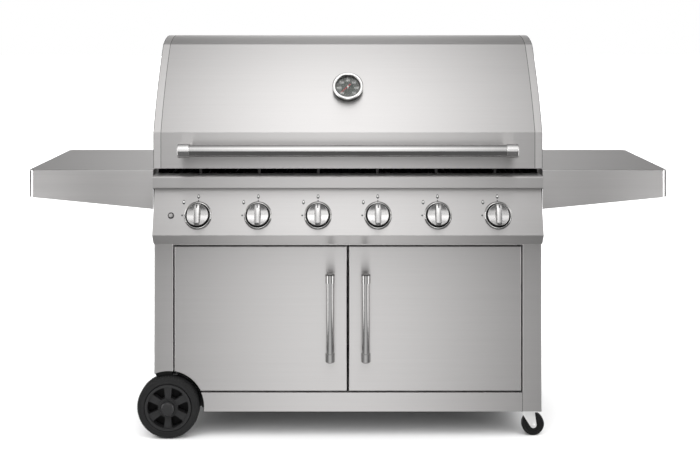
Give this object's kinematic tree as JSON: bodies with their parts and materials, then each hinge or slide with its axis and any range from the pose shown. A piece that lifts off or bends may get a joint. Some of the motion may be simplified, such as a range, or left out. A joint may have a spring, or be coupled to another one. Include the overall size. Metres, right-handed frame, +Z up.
{
  "type": "gas barbecue grill",
  "caption": "Steel gas grill on a wheeled cabinet cart with a hinged hood, a thermometer, a row of burner knobs, side shelves and a pair of cabinet doors.",
  "frame": {"origin": "on the floor under the middle of the grill's bounding box", "axes": "+Z up, +X to the right of someone facing the doors, the front looks along -Y"},
  "size_m": [1.884, 0.615, 1.1793],
  "materials": {
    "brushed_steel": "horizontal brushed grain, satin",
    "cart_steel": "plain satin sheet",
    "handle_steel": "fine brushed tube, bright",
    "knob_steel": "turned and brushed, satin",
    "bezel_chrome": "polished",
    "firebox_enamel": "black enamel, satin",
    "burner_steel": "plain tube, dull",
    "grate_iron": "matte, cast",
    "rack_chrome": "plated, bright",
    "valve_brass": "machined",
    "manifold_aluminium": "extruded, dull",
    "black_plastic": "moulded, satin",
    "tyre_rubber": "moulded rubber, matte",
    "caster_rubber": "moulded rubber, smooth",
    "caster_zinc": "zinc plated",
    "gauge_glass": "clear, flat",
    "needle_red": "painted, matte"
  },
  "bodies": {
    "cart": {"cart_base": "cart_steel", "side_panels": "cart_steel", "back_panel": "cart_steel", "corner_posts": "brushed_steel", "kick_rail": "brushed_steel", "door_header": "brushed_steel", "left_shelf": "brushed_steel", "right_shelf": "brushed_steel", "shelf_brackets": "cart_steel", "firebox": "firebox_enamel", "front_rail": "brushed_steel", "control_panel": "brushed_steel", "knob_bezels": "bezel_chrome", "gas_manifold": "manifold_aluminium", "gas_valves": "valve_brass", "tube_burners": "burner_steel", "heat_tents": "firebox_enamel", "cooking_grates": "grate_iron", "warming_rack": "rack_chrome", "ignition_electrodes": "burner_steel", "igniter_module": "black_plastic", "wheel_axle": "caster_zinc", "wheel_caps": "black_plastic", "caster_plates": "caster_zinc", "hood_hinge_brackets": "cart_steel", "door_hinge_pins": "cart_steel", "door_magnets": "black_plastic"},
    "hood": {"hood_skin": "brushed_steel", "hood_cheeks": "brushed_steel", "hood_handle_tube": "handle_steel", "hood_handle_mounts": "handle_steel", "thermometer_case": "bezel_chrome", "thermometer_lens": "gauge_glass"},
    "needle": {"thermometer_needle": "needle_red"},
    "left_door": {"left_door": "brushed_steel", "left_door_handle": "handle_steel"},
    "right_door": {"right_door": "brushed_steel", "right_door_handle": "handle_steel"},
    "tray": {"grease_tray": "firebox_enamel"},
    "igniter": {"igniter_button": "knob_steel"},
    "front_wheel": {"front_wheel_rim": "black_plastic", "front_tyre": "tyre_rubber"},
    "rear_wheel": {"rear_wheel_rim": "black_plastic", "rear_tyre": "tyre_rubber"},
    "front_caster": {"front_caster_fork": "caster_zinc"},
    "rear_caster": {"rear_caster_fork": "caster_zinc"},
    "front_roller": {"front_caster_wheel": "caster_rubber"},
    "rear_roller": {"rear_caster_wheel": "caster_rubber"},
    "stem_1": {"valve_stem_1": "valve_brass"},
    "knob_1": {"burner_knob_1": "knob_steel"},
    "stem_2": {"valve_stem_2": "valve_brass"},
    "knob_2": {"burner_knob_2": "knob_steel"},
    "stem_3": {"valve_stem_3": "valve_brass"},
    "knob_3": {"burner_knob_3": "knob_steel"},
    "stem_4": {"valve_stem_4": "valve_brass"},
    "knob_4": {"burner_knob_4": "knob_steel"},
    "stem_5": {"valve_stem_5": "valve_brass"},
    "knob_5": {"burner_knob_5": "knob_steel"},
    "stem_6": {"valve_stem_6": "valve_brass"},
    "knob_6": {"burner_knob_6": "knob_steel"}
  },
  "joints": [
    {"name": "hood_hinge", "type": "hinge", "parent": "cart", "child": "hood", "pos_m": [0, 0.2255, 0.812], "axis": [-1, 0, 0], "range_deg": [0, 95]},
    {"name": "thermometer_pointer", "type": "hinge", "parent": "hood", "child": "needle", "pos_m": [0, -0.17244, 1.02089], "axis": [0, 0.8417, -0.5399], "range_deg": [0, 270]},
    {"name": "left_door_hinge", "type": "hinge", "parent": "cart", "child": "left_door", "pos_m": [-0.5045, -0.2315, 0.3505], "axis": [0, 0, -1], "range_deg": [0, 105]},
    {"name": "right_door_hinge", "type": "hinge", "parent": "cart", "child": "right_door", "pos_m": [0.5045, -0.2315, 0.3505], "axis": [0, 0, 1], "range_deg": [0, 105]},
    {"name": "tray_slide", "type": "slide", "parent": "cart", "child": "tray", "axis": [0, 1, 0], "range_m": [0, 0.36]},
    {"name": "igniter_press", "type": "slide", "parent": "cart", "child": "igniter", "axis": [0, 0.9519, -0.3064], "range_m": [0, 0.003], "stiffness_N_per_m": 100, "springref_m": -0.004},
    {"name": "valve_turn_1", "type": "hinge", "parent": "cart", "child": "stem_1", "pos_m": [-0.4375, -0.2638, 0.65901], "axis": [0, -0.9519, 0.3064], "range_deg": [0, 90]},
    {"name": "knob_press_1", "type": "slide", "parent": "stem_1", "child": "knob_1", "axis": [0, 0.9519, -0.3064], "range_m": [0, 0.004], "stiffness_N_per_m": 600, "springref_m": -0.004},
    {"name": "valve_turn_2", "type": "hinge", "parent": "cart", "child": "stem_2", "pos_m": [-0.2625, -0.2638, 0.65901], "axis": [0, -0.9519, 0.3064], "range_deg": [0, 90]},
    {"name": "knob_press_2", "type": "slide", "parent": "stem_2", "child": "knob_2", "axis": [0, 0.9519, -0.3064], "range_m": [0, 0.004], "stiffness_N_per_m": 600, "springref_m": -0.004},
    {"name": "valve_turn_3", "type": "hinge", "parent": "cart", "child": "stem_3", "pos_m": [-0.0875, -0.2638, 0.65901], "axis": [0, -0.9519, 0.3064], "range_deg": [0, 90]},
    {"name": "knob_press_3", "type": "slide", "parent": "stem_3", "child": "knob_3", "axis": [0, 0.9519, -0.3064], "range_m": [0, 0.004], "stiffness_N_per_m": 600, "springref_m": -0.004},
    {"name": "valve_turn_4", "type": "hinge", "parent": "cart", "child": "stem_4", "pos_m": [0.0875, -0.2638, 0.65901], "axis": [0, -0.9519, 0.3064], "range_deg": [0, 90]},
    {"name": "knob_press_4", "type": "slide", "parent": "stem_4", "child": "knob_4", "axis": [0, 0.9519, -0.3064], "range_m": [0, 0.004], "stiffness_N_per_m": 600, "springref_m": -0.004},
    {"name": "valve_turn_5", "type": "hinge", "parent": "cart", "child": "stem_5", "pos_m": [0.2625, -0.2638, 0.65901], "axis": [0, -0.9519, 0.3064], "range_deg": [0, 90]},
    {"name": "knob_press_5", "type": "slide", "parent": "stem_5", "child": "knob_5", "axis": [0, 0.9519, -0.3064], "range_m": [0, 0.004], "stiffness_N_per_m": 600, "springref_m": -0.004},
    {"name": "valve_turn_6", "type": "hinge", "parent": "cart", "child": "stem_6", "pos_m": [0.4375, -0.2638, 0.65901], "axis": [0, -0.9519, 0.3064], "range_deg": [0, 90]},
    {"name": "knob_press_6", "type": "slide", "parent": "stem_6", "child": "knob_6", "axis": [0, 0.9519, -0.3064], "range_m": [0, 0.004], "stiffness_N_per_m": 600, "springref_m": -0.004},
    {"name": "front_wheel_spin", "type": "hinge", "parent": "cart", "child": "front_wheel", "pos_m": [-0.528, -0.226, 0.0915], "axis": [0, 1, 0], "continuous": true},
    {"name": "front_caster_swivel", "type": "hinge", "parent": "cart", "child": "front_caster", "pos_m": [0.532, -0.2085, 0.06], "axis": [0, 0, 1], "continuous": true},
    {"name": "front_caster_roll", "type": "hinge", "parent": "front_caster", "child": "front_roller", "pos_m": [0.548, -0.2085, 0.033], "axis": [0, 1, 0], "continuous": true},
    {"name": "rear_wheel_spin", "type": "hinge", "parent": "cart", "child": "rear_wheel", "pos_m": [-0.528, 0.273, 0.0915], "axis": [0, 1, 0], "continuous": true},
    {"name": "rear_caster_swivel", "type": "hinge", "parent": "cart", "child": "rear_caster", "pos_m": [0.532, 0.2555, 0.06], "axis": [0, 0, 1], "continuous": true},
    {"name": "rear_caster_roll", "type": "hinge", "parent": "rear_caster", "child": "rear_roller", "pos_m": [0.548, 0.2555, 0.033], "axis": [0, 1, 0], "continuous": true}
  ]
}
